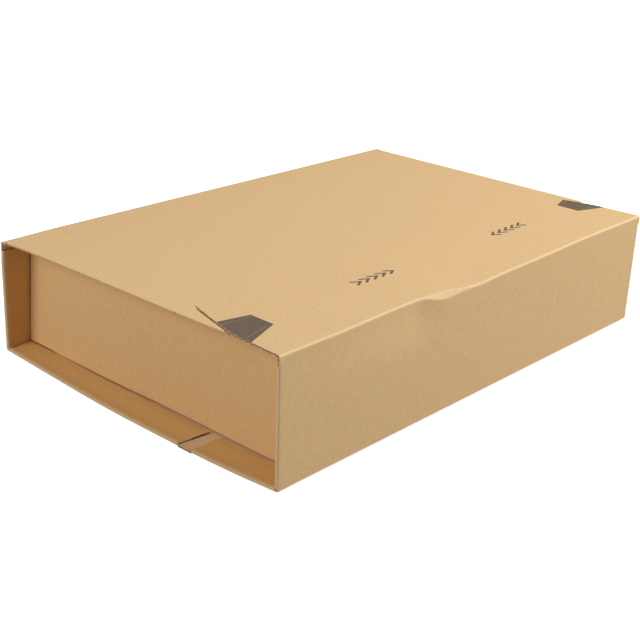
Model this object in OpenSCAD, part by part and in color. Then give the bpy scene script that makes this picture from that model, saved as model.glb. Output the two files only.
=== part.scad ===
// Corrugated mailer box: one die-cut sheet, folded into a closed wrap whose four rims at
// each end are folded back on themselves, with a recessed end wall hanging from the top rim.
// Millimetres. X runs along the box, Y from the front panel to the back panel, Z up.
// The wrap's outline is drawn once, as a path of panels, and every fold, rim and wall
// takes its place from that path.

/* [Box] */
// Length over the raw tabs at both ends
box_l = 330; // [260:1:420]
// Depth from the front panel to the back panel
box_w = 221; // [190:1:300]
// Height from the face it rests on to the top panel
box_h = 73.4; // [55:0.1:120]
// Height of the front panel's lower edge above the face it rests on
front_rise = 2.8; // [0.5:0.1:6]
// Height of the back crease above the face it rests on
back_rise = 5.3; // [0.5:0.1:8]
// Place of the crease across the bottom panel, from the front
crease_y = 59.7; // [45:0.1:80]
// Width of the flat belly of the sagging bottom panel, behind that crease
belly_w = 69; // [30:1:90]

/* [Board] */
// Thickness of the corrugated board
board_t = 1.4; // [1:0.1:2.2]
// Inner radius of the wrap's four folds
crease_r = 1; // [0.5:0.1:2]
// Air between two layers that are folded flat on each other
fold_gap = 0.3; // [0.2:0.05:0.6]
// Distance between two open flutes along a raw edge
flute_pitch = 4.2; // [2:0.1:6]
// Share of the pitch that is open
flute_open = 0.62; // [0.3:0.01:0.8]
// Depth of an open flute, seen from the raw edge
flute_depth = 2.5; // [1:0.5:6]

/* [Rims] */
// Depth of a folded rim, from its smooth edge to its raw inner edge
rim_w = 15; // [8:0.5:30]
// Distance that raw tabs stand proud of the folded rims
tab_proud = 0.8; // [0.2:0.1:2]
// Width of the notch in the bottom rim, at the crease
notch_w = 10.4; // [9:0.1:20]
// Distance that the notch's mouth reaches from the crease towards the front
notch_lead = 1; // [0.6:0.1:2]
// Distance that the notch runs towards the front on its way in
notch_skew = 7; // [0:0.5:7]
// Length that the rims stop short of the two upper folds
corner_notch = 5.5; // [4:0.5:10]
// Width of the cut between a folded rim and the raw tab beside it
cut_gap = 0.2; // [0.1:0.05:0.5]

/* [End walls] */
// Gap between a rim's inner edge and the end wall
wall_gap = 1.2; // [0.5:0.1:6]
// Inner radius of the fold between rim and end wall
wall_fold_r = 0.8; // [0.5:0.1:2]
// Clearance of the end wall's free edges
wall_clear = 0.5; // [0.3:0.1:1.5]
// Chamfer at the end wall's upper corners
wall_chamfer = 4; // [2:0.5:10]

/* [Lid corners] */
// Width of the raw lid corner, from the front to the slit's mouth
lid_corner_w = 31.5; // [20:0.5:36]
// Distance of the folded top rim's front end from the front
lid_rim_y = 40; // [38:1:50]
// Distance of the slit's tip from the front
slit_tip_y = 73; // [56:1:90]
// Distance of the slit's tip from the end
slit_tip_x = 14; // [8:0.5:20]
// Radius of the slit's curve
slit_r = 330; // [200:10:600]
// Width of the slit
slit_w = 0.7; // [0.4:0.1:1.5]
// Distance that the layer below stands back under the raw lid corner
under_back = 3; // [1:0.5:8]

/* [Dent] */
// Distance of the dent in the front fold from the left end
dent_x = 119; // [60:1:200]
// Length of the dent
dent_l = 50; // [20:1:80]
// Depth of the dent
dent_depth = 1; // [0.4:0.1:1.2]

/* [Closure] */
// Height of the glue lap inside the front panel
lap_h = 45; // [25:1:50]
// Width of the double-sided seal strip
seal_w = 20; // [8:1:22]
// Thickness of the seal strip
seal_t = 0.3; // [0.2:0.05:0.5]
// Distance of the seal strip from the lap's free edge
seal_inset = 2; // [1:0.5:5]
// Length that the lap and strip stop short behind the end walls
lap_back = 3; // [1:0.5:10]

/* [Hidden] */
$fn = 48;
kraft = "burlywood";
strip_colour = "gainsboro";
eps = 0.01;
spare = 1;                                  // how far a cut runs past the board
step_in = 0.05;                             // how far a half-round edge lies inside its layers
turn_in = 6;                                // degrees that it turns on into them
bend_min = 45;                              // smaller turns are kinks, without a radius
fold_steps = 8;                             // flats round one fold of the wrap
belly_end = crease_y + belly_w;
lap_y = board_t + seal_t;                   // outer face of the glue lap
fold_r_out = crease_r + board_t;
rim_r_out = board_t + fold_gap / 2;         // outer radius of a rim's half-round edge
rim_x = tab_proud + rim_r_out;              // where the half-round edge meets the flat rim
rim_end = tab_proud + rim_w;                // raw inner edge of a rim
rim_t = 2 * board_t + fold_gap;             // both layers of a rim
wall_x = rim_end + wall_gap;                // outer face of the end wall
lap_x = wall_x + board_t + lap_back;

function bottom_z(y) =
    y < crease_y ? front_rise * (1 - y / crease_y)
    : y < belly_end ? 0
    : back_rise * (y - belly_end) / (box_w - belly_end);

// The wrap's outer line in the Y-Z plane, from the glue lap round to the front panel's
// lower edge. The board's inside lies to the left of the line.
outline = [
    [lap_y, bottom_z(lap_y) + lap_h],
    [lap_y, bottom_z(lap_y)],
    [crease_y, 0],
    [belly_end, 0],
    [box_w, back_rise],
    [box_w, box_h],
    [0, box_h],
    [0, front_rise],
];
LAP = 0;
BOTTOM_FRONT = 1;
BELLY = 2;
BOTTOM_BACK = 3;
BACK = 4;
TOP = 5;
FRONT = 6;

function span(i) = outline[i + 1] - outline[i];
function panel_len(i) = norm(span(i));
function panel_turn(i) = atan2(span(i)[1], span(i)[0]);
function turn_at(i) = (panel_turn(i) - panel_turn(i - 1) + 360) % 360;
function is_fold(i) = i > 0 && i <= FRONT && turn_at(i) > bend_min;
function is_kink(i) = i > 0 && i <= FRONT && turn_at(i) <= bend_min;
// Length that a corner takes from a panel, at depth n below its outer face
function corner_cut(i, n) =
    is_fold(i) ? fold_r_out * tan(turn_at(i) / 2)
    : is_kink(i) ? n * tan(turn_at(i) / 2)
    : 0;

// Places its children on panel i: X along the box, Y along the panel, Z into the box
module on_panel(i) {
    translate([0, outline[i][0], outline[i][1]]) rotate([panel_turn(i), 0, 0]) children();
}

// Repeats its children, mirrored, at the other end of the box
module both_ends() {
    children();
    translate([box_l, 0, 0]) mirror([1, 0, 0]) children();
}

// Extrudes a Y-Z outline along the box, from x0 to x1
module along_box(x0, x1) {
    translate([x0, 0, 0]) rotate([90, 0, 90]) linear_extrude(x1 - x0) children();
}

// Extrudes an X-depth outline along a panel, from s0 to s1
module along_panel(s0, s1) {
    translate([0, s1, 0]) rotate([90, 0, 0]) linear_extrude(s1 - s0) children();
}

module ring_sector(r_in, r_out, a0, a1) {
    far = 2 * r_out;
    mid = (a0 + a1) / 2;
    intersection() {
        difference() {
            circle(r_out);
            circle(r_in);
        }
        polygon([
            [0, 0],
            far * [cos(a0), sin(a0)],
            far * [cos(mid), sin(mid)],
            far * [cos(a1), sin(a1)],
        ]);
    }
}

// Points round the fold at the start of panel i, at depth n below the outer face
function fold_points(i, n) = [
    for (k = [0 : fold_steps])
        let (a = panel_turn(i - 1) - 90 + turn_at(i) * k / fold_steps)
            fold_centre(i) + (fold_r_out - n) * [cos(a), sin(a)]
];
function fold_centre(i) =
    outline[i] + corner_cut(i, 0) * along(i) + fold_r_out * inward(i);
function along(i) = [cos(panel_turn(i)), sin(panel_turn(i))];
function inward(i) = [-sin(panel_turn(i)), cos(panel_turn(i))];
function corner_points(i, n) =
    is_fold(i) ? fold_points(i, n)
    : i > FRONT ? [outline[i] + n * inward(FRONT)]
    : [outline[i] + corner_cut(i, n) * along(i) + n * inward(i)];

// The point at distance s along panel i, at depth n below its outer face
function at(i, s, n) = outline[i] + s * along(i) + n * inward(i);

// The line at depth n from distance s0 along panel i to distance s1 along panel j
function line_at(i, s0, j, s1, n) = [
    at(i, s0, n),
    for (k = [i + 1 : 1 : j]) each corner_points(k, n),
    at(j, s1, n)
];
function reversed(points) = [for (k = [len(points) - 1 : -1 : 0]) points[k]];

// The section between two such lines
module strip_section(i, s0, j, s1, n0, n1) {
    polygon(concat(line_at(i, s0, j, s1, n0), reversed(line_at(i, s0, j, s1, n1))));
}

// The closed wrap: five panels round the contents, without the glue lap
module wrap() {
    along_box(0, box_l)
        strip_section(BOTTOM_FRONT, corner_cut(BOTTOM_FRONT, 0), FRONT, panel_len(FRONT),
            0, board_t);
}

// The glue lap, turned up inside the front panel between the end walls. Its section runs on
// over the wrap's front crease, so that both share whole faces.
module glue_lap() {
    along_box(lap_x, box_l - lap_x) strip_section(LAP, 0, BELLY, belly_w / 2, 0, board_t);
}

// Each folded rim: its first panel and where it starts there, its last panel and where it
// ends there. The last one ends past the front panel's lower edge.
function rims() = [
    [BOTTOM_FRONT, 0, BOTTOM_FRONT, panel_len(BOTTOM_FRONT)],
    [BELLY, 0, BOTTOM_BACK, panel_len(BOTTOM_BACK) - rim_t - wall_clear],
    [BACK, fold_r_out, BACK, panel_len(BACK) - corner_notch],
    [TOP, corner_notch, TOP, panel_len(TOP) - lid_rim_y],
    [FRONT, corner_notch, FRONT, panel_len(FRONT) + spare],
];
function rim_start(r) = max(r[1], corner_cut(r[0], 0)) + cut_gap;
function rim_stop(r) = min(r[3], panel_len(r[2])) - cut_gap;

// Front side of the notch in the bottom rims, at distance x from the end
function notch_side(x) = crease_y - notch_lead - notch_skew * x / rim_end;

// The notch seen from above, slanting across the crease, widened on both sides
module notch(wider) {
    x0 = -spare;
    x1 = rim_end + spare;
    translate([0, 0, -2 * spare]) linear_extrude(rim_t + 3 * spare) polygon([
        [x0, notch_side(x0) - wider],
        [x1, notch_side(x1) - wider],
        [x1, notch_side(x1) + notch_w + wider],
        [x0, notch_side(x0) + notch_w + wider],
    ]);
}

// Room for a rim's half-round edge, cut from the wrap's raw end
module rim_room(r) {
    along_box(-spare, rim_x) strip_section(r[0], r[1], r[2], r[3], -spare, board_t + eps);
}

// A rim's half-round edge, parted by a hairline where its panels meet in a kink. It reaches
// into both layers, a step inside their faces, so that no two faces nearly coincide.
module half_round(r) {
    for (i = [r[0] : r[2]]) {
        s0 = i == r[0] ? rim_start(r) + step_in : cut_gap / 2;
        s1 = i == r[2] ? rim_stop(r) - step_in : panel_len(i) - cut_gap / 2;
        on_panel(i) along_panel(s0, s1) translate([rim_x, rim_r_out])
            ring_sector(fold_gap / 2 + step_in, rim_r_out - step_in,
                90 - turn_in, 270 + turn_in);
    }
}

// The layer of a rim that is folded back inside
module folded_layer(r) {
    along_box(rim_x, rim_end)
        strip_section(r[0], rim_start(r), r[2], rim_stop(r), board_t + fold_gap, rim_t);
}

// The strip folded back under the top panel, and the end wall that hangs from it
module end_wall() {
    hang_z = box_h - rim_t - wall_fold_r;
    side = board_t + wall_clear;
    foot = board_t + wall_clear;
    first = corner_notch;
    last = panel_len(TOP) - corner_notch;
    corner_from = panel_len(TOP) - lid_rim_y;
    fold_x = wall_x - wall_fold_r;
    on_panel(TOP) {
        translate([rim_x, first, board_t + fold_gap])
            cube([fold_x - rim_x, corner_from - first, board_t]);
        translate([tab_proud + under_back, corner_from - eps, board_t + fold_gap])
            cube([fold_x - tab_proud - under_back, last - corner_from + eps, board_t]);
        along_panel(first, last) translate([fold_x, rim_t + wall_fold_r])
            ring_sector(wall_fold_r, wall_fold_r + board_t, -90, 0);
    }
    along_box(wall_x, wall_x + board_t) polygon([
        [side, bottom_z(side) + foot],
        [crease_y, foot],
        [belly_end, foot],
        [box_w - side, bottom_z(box_w - side) + foot],
        [box_w - side, hang_z - wall_chamfer],
        [box_w - corner_notch, hang_z],
        [corner_notch, hang_z],
        [side, hang_z - wall_chamfer],
    ]);
}

// The curved slit that frees the lid corner, through the top panel only, and the wedge of
// board that it cuts off between its mouth and the folded rim
module lid_slit() {
    tip = [slit_tip_x, slit_tip_y];
    mouth = [tab_proud / 2, lid_corner_w];
    chord = norm(tip - mouth);
    heading = atan2(tip[1] - mouth[1], tip[0] - mouth[0]);
    rise = sqrt(slit_r * slit_r - chord * chord / 4);
    middle = (tip + mouth) / 2;
    centre = middle + rise * [sin(heading), -cos(heading)];
    reach = slit_r - rise + slit_w;
    translate([0, 0, box_h - board_t - fold_gap / 2])
        linear_extrude(board_t + fold_gap) {
            intersection() {
                translate(centre) difference() {
                    circle(slit_r + slit_w / 2, $fn = 240);
                    circle(slit_r - slit_w / 2, $fn = 240);
                }
                translate(middle) rotate(heading) translate([-chord / 2 - slit_w * 4, -reach])
                    square([chord + slit_w * 4, 2 * reach]);
            }
            difference() {
                translate([-spare, lid_corner_w - spare])
                    square([rim_x + spare, lid_rim_y - lid_corner_w + 2 * spare]);
                translate(centre) circle(slit_r, $fn = 240);
            }
        }
}

// Sets a stretch of raw edge back in line with the folded rims
module trimmed_edge(y0, y1, z0, z1, back) {
    translate([-spare, y0, z0]) cube([spare + back, y1 - y0, z1 - z0]);
}

// Open flutes in a raw edge of panel i, from s0 to s1, where the edge lies back from the end
module open_flutes(i, s0, s1, back) {
    count = floor((s1 - s0) / flute_pitch);
    first = (s0 + s1 - (count - 1 + flute_open) * flute_pitch) / 2;
    on_panel(i)
        for (k = [0 : 1 : count - 1])
            translate([-spare, first + k * flute_pitch, board_t / 4])
                cube([spare + back + flute_depth, flute_open * flute_pitch, board_t / 2]);
}

// What the raw ends of the wrap lose: room for the rims, trimmed corners, flutes and the slit
module raw_end_cuts() {
    back_corner = rim_end;
    top_len = panel_len(TOP);
    difference() {
        for (r = rims()) rim_room(r);
        notch(0);
    }
    trimmed_edge(fold_r_out, lid_corner_w, box_h - board_t - eps, box_h + spare,
        tab_proud / 2);
    trimmed_edge(box_w - back_corner, box_w + spare, -spare, back_rise + back_corner,
        tab_proud);
    open_flutes(TOP, top_len - lid_corner_w, top_len - fold_r_out, tab_proud / 2);
    open_flutes(BELLY, 0, 2 * flute_pitch, 0);
    lid_slit();
}

// A long shallow scoop, with its axis across the front fold
module dent_scoop() {
    apex = fold_r_out * (sqrt(2) - 1);
    r = (dent_l * dent_l / 4 + dent_depth * dent_depth) / (2 * dent_depth);
    translate([dent_x, 0, box_h]) rotate([45, 0, 0])
        translate([0, 0, r - apex - dent_depth])
            rotate([90, 0, 0]) cylinder(r = r, h = 8 * board_t, center = true, $fn = 240);
}

module folded_sheet() {
    color(kraft) translate([-box_l / 2, -box_w / 2, 0]) {
        difference() {
            wrap();
            both_ends() raw_end_cuts();
            dent_scoop();
        }
        both_ends() {
            difference() {
                for (r = rims()) {
                    half_round(r);
                    if (r[0] != TOP) folded_layer(r);
                }
                notch(cut_gap);
            }
            end_wall();
        }
        glue_lap();
    }
}

module seal_strip() {
    top_z = bottom_z(lap_y) + lap_h - seal_inset;
    color(strip_colour) translate([-box_l / 2, -box_w / 2, 0])
        translate([lap_x, board_t, top_z - seal_w])
            cube([box_l - 2 * lap_x, seal_t, seal_w]);
}

folded_sheet();
seal_strip();
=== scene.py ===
"""Looks of the corrugated mailer box: the folded board with its rims, slits, raw flutes, sag and
dent as one modelled sheet, its kraft material with printed marks, and a plain studio."""

import math

import bmesh
import bpy
from mathutils import Matrix, Vector


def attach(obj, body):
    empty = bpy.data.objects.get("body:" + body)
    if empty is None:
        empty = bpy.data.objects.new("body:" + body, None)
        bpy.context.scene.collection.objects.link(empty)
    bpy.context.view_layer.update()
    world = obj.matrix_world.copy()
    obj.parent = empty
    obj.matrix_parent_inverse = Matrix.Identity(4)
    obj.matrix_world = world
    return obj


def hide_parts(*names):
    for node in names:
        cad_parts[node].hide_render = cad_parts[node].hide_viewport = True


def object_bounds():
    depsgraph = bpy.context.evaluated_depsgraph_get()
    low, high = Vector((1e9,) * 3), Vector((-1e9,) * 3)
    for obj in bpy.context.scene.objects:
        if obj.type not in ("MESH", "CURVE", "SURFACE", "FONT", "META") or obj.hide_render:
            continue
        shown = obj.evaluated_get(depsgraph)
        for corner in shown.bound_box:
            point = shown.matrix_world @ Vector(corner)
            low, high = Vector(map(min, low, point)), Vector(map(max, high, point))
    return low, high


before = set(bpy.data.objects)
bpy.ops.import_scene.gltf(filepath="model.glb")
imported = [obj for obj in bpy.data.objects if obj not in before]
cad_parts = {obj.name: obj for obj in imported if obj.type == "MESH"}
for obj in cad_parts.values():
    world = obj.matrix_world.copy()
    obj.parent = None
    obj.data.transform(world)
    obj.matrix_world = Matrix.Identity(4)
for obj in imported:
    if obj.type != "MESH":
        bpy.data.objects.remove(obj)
CAD_LOW, CAD_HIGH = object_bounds()

# Sizes in millimetres, measured from the box's left end, its front and what it rests on
MM = 0.001
LENGTH = (CAD_HIGH[0] - CAD_LOW[0]) / MM
WIDTH = (CAD_HIGH[1] - CAD_LOW[1]) / MM
HEIGHT = (CAD_HIGH[2] - CAD_LOW[2]) / MM
ORIGIN = Vector((CAD_LOW[0], CAD_LOW[1], CAD_LOW[2])) / MM

# Heights of the bottom panel's front and back edges
FRONT_RISE = 2.8
BACK_RISE = 5.3

# The board, its liners, the arched medium between them and the pitch of the flutes
BOARD = 1.4
LINER = 0.3
INNER_LINER = 0.42
MEDIUM = 0.36
FLUTE = 4.2

# Raw edges: depth of the open flutes, and how far the medium stands back in them
FLUTE_DEPTH = 3.5
MEDIUM_BACK = 0.05

# Folds of the wrap: outer radius, and flats round one fold
FOLD_R = 1.5
FOLD_STEPS = 10

# Rims: width, how far raw tabs stand proud of them, and radius of the folded edge
RIM_W = 15.0
PROUD = 0.8
RIM_R = 1.05
RIM_X = PROUD + RIM_R
RIM_END = PROUD + RIM_W
# Distance of the folded edges from the box's end where they lie flush with the tabs
FLUSH = 0.06
# Two layers and the air between them, at the top rim and at the others
RIM_T = 3.1
RIM_FLAT_T = 2.75

# Cuts of the rims at the wrap's corners, and round the raw tab in the bottom rim
CORNER_NOTCH = 5.5
CUT = 0.3
NOTCH_FROM = 60.0
NOTCH_TO = 70.4

# Lid corner: tip of the slit, front end of the top rim, and raw edges from the box's end
TIP_X = 14.0
TIP_Y = 72.8
LID_RIM_Y = 36.0
RAW_LID_X = 0.4
RAW_BACK_X = 0.3

# Glue lap inside the front panel, behind the sealing strip
STRIP_T = 0.3
LAP_Y = BOARD + STRIP_T
LAP_H = 45.0

# Place of the first column that the ends share with the broad faces
END_X = 22.0

# End walls: place, radius of the fold at the top and gap at the front
WALL_X = 17.0
WALL_R = 0.8
WALL_CLEAR = 0.5

# Half of a top rim's edge in section: a sharp upper edge, drawn in underneath
UNDERCUT = [(RIM_X, 0.0), (1.4, 0.0), (1.1, 0.02), (0.9, 0.1), (0.8, 0.28), (0.86, 0.5),
            (1.05, 0.85), (1.35, 1.25), (1.75, 1.65), (2.2, 1.95), (2.7, 2.2)]

# Measures that are no further apart than this are the same
SAME = 1e-3
# Least distance of a panel's stations from its folds
FOLD_SPARE = 0.15
# Slack when stations are chosen by their way round the wrap
SLACK = 0.1
# Digits of a millimetre to which the corners of faces are welded
WELD_DIGITS = 3

OUTER, INNER, EDGE, CORE, RIM, WALL = range(6)
PANELS = ["lap", "bottom", "back", "top", "front"]


def smoothstep(a, b, t):
    t = min(1.0, max(0.0, (t - a) / (b - a)))
    return t * t * (3 - 2 * t)


def spaced(a, b, step):
    """Evenly spaced values from a to b, at most step apart."""
    count = max(1, math.ceil(abs(b - a) / step - 1e-6))
    return [a + (b - a) * k / count for k in range(count + 1)]


def joined(*runs):
    """The runs of values one after another, without repeats."""
    values = []
    for run in runs:
        for v in run:
            if not values or v > values[-1] + SAME:
                values.append(v)
    return values


class Sheet:
    """Collects the faces of a mesh, welding corners that coincide and leaving out repeats. A
    corner is its place, and then its way round the wrap, its depth in the board, its wear and
    painted highlight, and its share in the lid."""

    def __init__(self):
        self.points = []
        self.index = {}
        self.faces = []
        self.known = set()
        self.kinds = []
        self.mirror = False

    def corner(self, p):
        if self.mirror:
            p = (LENGTH - p[0], *p[1:])
        key = tuple(round(v, WELD_DIGITS) for v in p[:3])
        if key not in self.index:
            self.index[key] = len(self.points)
            self.points.append(p)
        return self.index[key]

    def face(self, corners, kind):
        ids = []
        for p in corners:
            k = self.corner(p)
            if k not in ids:
                ids.append(k)
        if len(ids) > 2 and frozenset(ids) not in self.known:
            self.known.add(frozenset(ids))
            self.faces.append(ids)
            self.kinds.append(kind)

    def grid(self, rows, kind):
        for a, b in zip(rows, rows[1:]):
            for k in range(len(a) - 1):
                self.face([a[k], a[k + 1], b[k + 1], b[k]], kind)


class Station:
    """A place on the wrap's outline: its outer point, its inward direction and its length."""

    def __init__(self, y, z, ny, nz, s, panel, wear_and_highlight=0.0):
        self.y, self.z, self.ny, self.nz, self.s = y, z, ny, nz, s
        self.panel, self.wear_and_highlight = panel, wear_and_highlight

    def at(self, x, depth, drop=None, wear_and_highlight=0.0):
        lid = 1.0 if self.panel.startswith("top") and drop is None else 0.0
        return (x, self.y + depth * self.ny, self.z + depth * self.nz - (drop or 0.0),
                self.s, depth, max(wear_and_highlight, self.wear_and_highlight), lid)


def bottom_z(y):
    return FRONT_RISE + (BACK_RISE - FRONT_RISE) * y / WIDTH


CORNERS = [
    Vector((LAP_Y, bottom_z(LAP_Y) + LAP_H)),
    Vector((LAP_Y, bottom_z(LAP_Y))),
    Vector((WIDTH, BACK_RISE)),
    Vector((WIDTH, HEIGHT)),
    Vector((0.0, HEIGHT)),
    Vector((0.0, FRONT_RISE)),
]
SIZES = [(b - a).length for a, b in zip(CORNERS, CORNERS[1:])]
STARTS = [sum(SIZES[:k]) for k in range(len(SIZES))]

# Runs of stations along each panel: from, to and the greatest step
FINE = FLUTE / 8
NOTCH_M = (NOTCH_FROM - LAP_Y, NOTCH_TO - LAP_Y)
BOTTOM_CORNER_M = SIZES[1] - RIM_T - WALL_CLEAR
BACK_NOTCH_M = SIZES[2] - CORNER_NOTCH
RUNS = {
    "lap": [(0, 60, 9)],
    "bottom": [(0, NOTCH_M[0], 5), (NOTCH_M[0] + CUT, NOTCH_M[1] - CUT, FINE),
               (NOTCH_M[1], NOTCH_M[1], 1), (NOTCH_M[1] + 3, BOTTOM_CORNER_M, 6)],
    "back": [(FOLD_R, BACK_NOTCH_M, 8), (BACK_NOTCH_M + CUT, BACK_NOTCH_M + CUT, 1)],
    "top": [(CORNER_NOTCH - CUT, CORNER_NOTCH, 1), (9, WIDTH - TIP_Y - 2, 8),
            (WIDTH - TIP_Y, WIDTH, FINE)],
    "front": [(FOLD_R, CORNER_NOTCH - CUT, FINE), (CORNER_NOTCH, CORNER_NOTCH, 1),
              (CORNER_NOTCH + 0.5, 12, 0.7), (13, 30, 2.5), (34, 80, 6)],
}


def heading(i):
    return (CORNERS[i + 1] - CORNERS[i]).normalized()


def fold_cut(i):
    """Length that the round fold at corner i takes from the panels beside it."""
    a, b = heading(i - 1), heading(i)
    return FOLD_R * math.tan(math.atan2(a.cross(b), a.dot(b)) / 2)


def marks(name):
    """Measures along a panel at which a station is wanted."""
    return joined(*(spaced(*run) for run in RUNS[name]))


def outline():
    """Stations round the wrap, from the lap by the bottom, back and top to the front."""
    stations = []
    last = len(PANELS) - 1
    for i, name in enumerate(PANELS):
        d = heading(i)
        n = Vector((-d.y, d.x))
        start = fold_cut(i) if i else 0.0
        end = SIZES[i] - (fold_cut(i + 1) if i < last else 0.0)
        inside = [m for m in marks(name) if start + FOLD_SPARE < m < end - FOLD_SPARE]
        for m in [start] + inside + [end]:
            p = CORNERS[i] + m * d
            stations.append(Station(p.x, p.y, n.x, n.y, STARTS[i] + m, name))
        if i == last:
            break
        turn = math.atan2(d.cross(heading(i + 1)), d.dot(heading(i + 1)))
        centre = CORNERS[i] + end * d + FOLD_R * n
        for k in range(1, FOLD_STEPS):
            t = k / FOLD_STEPS
            m = Matrix.Rotation(turn * t, 2) @ n
            p = centre - FOLD_R * m
            s = STARTS[i] + end + 2 * t * (SIZES[i] - end)
            # The fold's wear, which also paints its highlight, is greatest at its middle
            stations.append(Station(p.x, p.y, m.x, m.y, s, name + "_fold",
                                    math.sin(math.pi * t) ** 3))
    return stations


STATIONS = outline()


def stretch(panel_from, m_from, panel_to, m_to):
    """The stations from one measure along a panel to another."""
    lo = STARTS[PANELS.index(panel_from)] + m_from - SLACK
    hi = STARTS[PANELS.index(panel_to)] + m_to + SLACK
    return [t for t in STATIONS if lo <= t.s <= hi]


def between_marks(table, v):
    """Value at v between the listed places."""
    if v <= table[0][0]:
        return table[0][1]
    for (v0, w0), (v1, w1) in zip(table, table[1:]):
        if v <= v1:
            return w0 + (w1 - w0) * (v - v0) / (v1 - v0)
    return table[-1][1]


# Place of the lid corner's raw edge at places from the front, along its side and the slit
SLIT = [(0, RAW_LID_X), (10, 0.8), (20, 1.6), (29, 1.8), (37, 3.2), (48.5, 6.5), (59, 9.7),
        (TIP_Y, TIP_X)]
# Places between which the top rim's front end goes in under the lid corner
TUCK_AT = (LID_RIM_Y + 8, LID_RIM_Y + 1)
# How far behind the raw edge it then lies, how much thinner it gets and how deep it sinks
TUCK_BACK = 0.3
TUCK_THIN = 0.75
TUCK_DEPTH = BOARD + 0.15
# The sliver beside the slit: width of the gap, run over which it opens, and least width
SLIVER_GAP = 0.6
SLIVER_GAP_RUN = 9
SLIVER_LEAST = 0.02
# Its drop below the lid corner, the run over which that grows, and the curves of both
SLIVER_DROP = 0.85
DROP_RUN = 5
DROP_RUN_CURVE = 0.8
DROP_CURVE = 1.6


def slit_x(y):
    return between_marks(SLIT, y)


def tucked(y):
    """How far the rim's front end and the sliver have gone under the lid corner: 0 to 1."""
    return smoothstep(*TUCK_AT, y)


def sliver_start(y):
    """The first line of the top rim, which runs in under the lid corner at its front end."""
    return RIM_X + (slit_x(y) + TUCK_BACK - RIM_X) * tucked(y)


def thinned(y):
    """Share of the board's thickness that is left under the lid corner."""
    return 1 - TUCK_THIN * tucked(y)


def sliver_side(y):
    """Where the sliver between the slit and the rim ends, beside the slit."""
    gap = SLIVER_GAP * smoothstep(TIP_Y, TIP_Y - SLIVER_GAP_RUN, y)
    return sliver_start(y) + max(SLIVER_LEAST, slit_x(y) - gap - RIM_X) * (1 - tucked(y))


def sliver_drop(t, x):
    """How far the sliver hangs below the lid corner: nothing at the rim, most at the slit."""
    sunk = TUCK_DEPTH * tucked(t.y)
    start = sliver_start(t.y)
    width = sliver_side(t.y) - start
    if width < SAME:
        return sunk
    opening = min(1.0, max(0.0, (TIP_Y - t.y) / DROP_RUN)) ** DROP_RUN_CURVE
    return sunk + SLIVER_DROP * opening * max(0.0, (x - start) / width) ** DROP_CURVE


def shares(a, b, count):
    return [a + (b - a) * k / count for k in range(count + 1)]


def slab(sheet, stations, xs_of, drop=None, thin=lambda y: 1.0):
    """Outer and inner face of the board over a run of stations, at places that xs_of gives."""
    sides = []
    for depth, kind in ((0.0, OUTER), (BOARD, INNER)):
        rows = [[t.at(x, depth * thin(t.y), drop(t, x) if drop else None) for x in xs_of(t)]
                for t in stations]
        sheet.grid(rows, kind)
        sides.append(rows)
    return sides


# Runs of the broad faces' columns from end to end: from, to and the greatest step
MIDDLE_RUNS = [(END_X, 74, 6), (77, 168, 2.5), (176, 260, 8), (272, LENGTH - END_X, 12)]
LAP_STEP = 20
# The seam between the lap's fold and the front is closed beside the lap, under the wall
SEAM_X = RIM_END + 1.0
SEAM_STEP = 3
SEAM_TOP = FOLD_R + 0.2


def wrap_middle(sheet):
    """The wrap's broad faces between the first full columns of both ends."""
    main = stretch("bottom", fold_cut(1), "front", SIZES[4])
    xs = joined(*(spaced(*run) for run in MIDDLE_RUNS))
    outer, inner = slab(sheet, main, lambda t: xs)
    sheet.grid([outer[-1], inner[-1]], EDGE)


def lap(sheet):
    """The glue lap inside the front panel, and the fold that joins it to the bottom."""
    run = stretch("lap", 0, "bottom", fold_cut(1))
    xs = spaced(END_X, LENGTH - END_X, LAP_STEP)
    outer, inner = slab(sheet, run, lambda t: xs)
    sheet.grid([outer[0], inner[0]], EDGE)
    for k in (0, -1):
        sheet.grid([[r[k] for r in outer], [r[k] for r in inner]], EDGE)
    low = [t for t in run if t.z < bottom_z(LAP_Y) + SEAM_TOP]
    slab(sheet, low, lambda t: spaced(SEAM_X, END_X, SEAM_STEP))
    slab(sheet, low, lambda t: spaced(LENGTH - END_X, LENGTH - SEAM_X, SEAM_STEP))


def raw_x(t):
    """Place of the board's raw edge at a station: the slit, the trimmed corner or a tab."""
    if t.panel == "top" and t.y <= TIP_Y:
        return slit_x(t.y)
    if t.panel == "top_fold":
        return RAW_LID_X * smoothstep(HEIGHT - FOLD_R, HEIGHT, t.z)
    if t.panel in ("back", "back_fold") or t.panel == "top":
        return RAW_BACK_X
    return 0.0


def raw_edge(sheet, run, edge):
    """A raw edge across the flutes: two liners and the medium, which arches between them."""
    low = BOARD - INNER_LINER - MEDIUM / 2
    high = LINER + MEDIUM / 2
    rows = {EDGE: [[], [], []], CORE: [[], [], []]}
    for t in run:
        x = edge(t)
        deep = x + FLUTE_DEPTH
        back = x + MEDIUM_BACK
        arch = smoothstep(0.5, 1.0, 0.5 + 0.5 * math.sin(2 * math.pi * t.s / FLUTE))
        c = low + (high - low) * arch
        upper, lower = c - MEDIUM / 2, c + MEDIUM / 2
        for run_of, kind, line in (
                (0, EDGE, ((x, 0), (x, LINER))),
                (1, EDGE, ((back, upper), (back, lower))),
                (2, EDGE, ((x, BOARD - INNER_LINER), (x, BOARD))),
                (0, CORE, ((x, LINER), (deep, LINER), (deep, BOARD - INNER_LINER),
                           (x, BOARD - INNER_LINER))),
                (1, CORE, ((deep, upper), (back, upper))),
                (2, CORE, ((back, lower), (deep, lower)))):
            rows[kind][run_of].append([t.at(p, d) for p, d in line])
    for kind, strips in rows.items():
        for strip in strips:
            sheet.grid(strip, kind)


# Columns near the ends: on a tab, over a rim, and from the rim's inside to the full column
TAB_COLUMNS = 2
RIM_COLUMNS = 4
INSIDE_COLUMNS = 8
# The lid corner's columns have become the front panel's at this place from the front
LID_AS_FRONT_Y = 5


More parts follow.
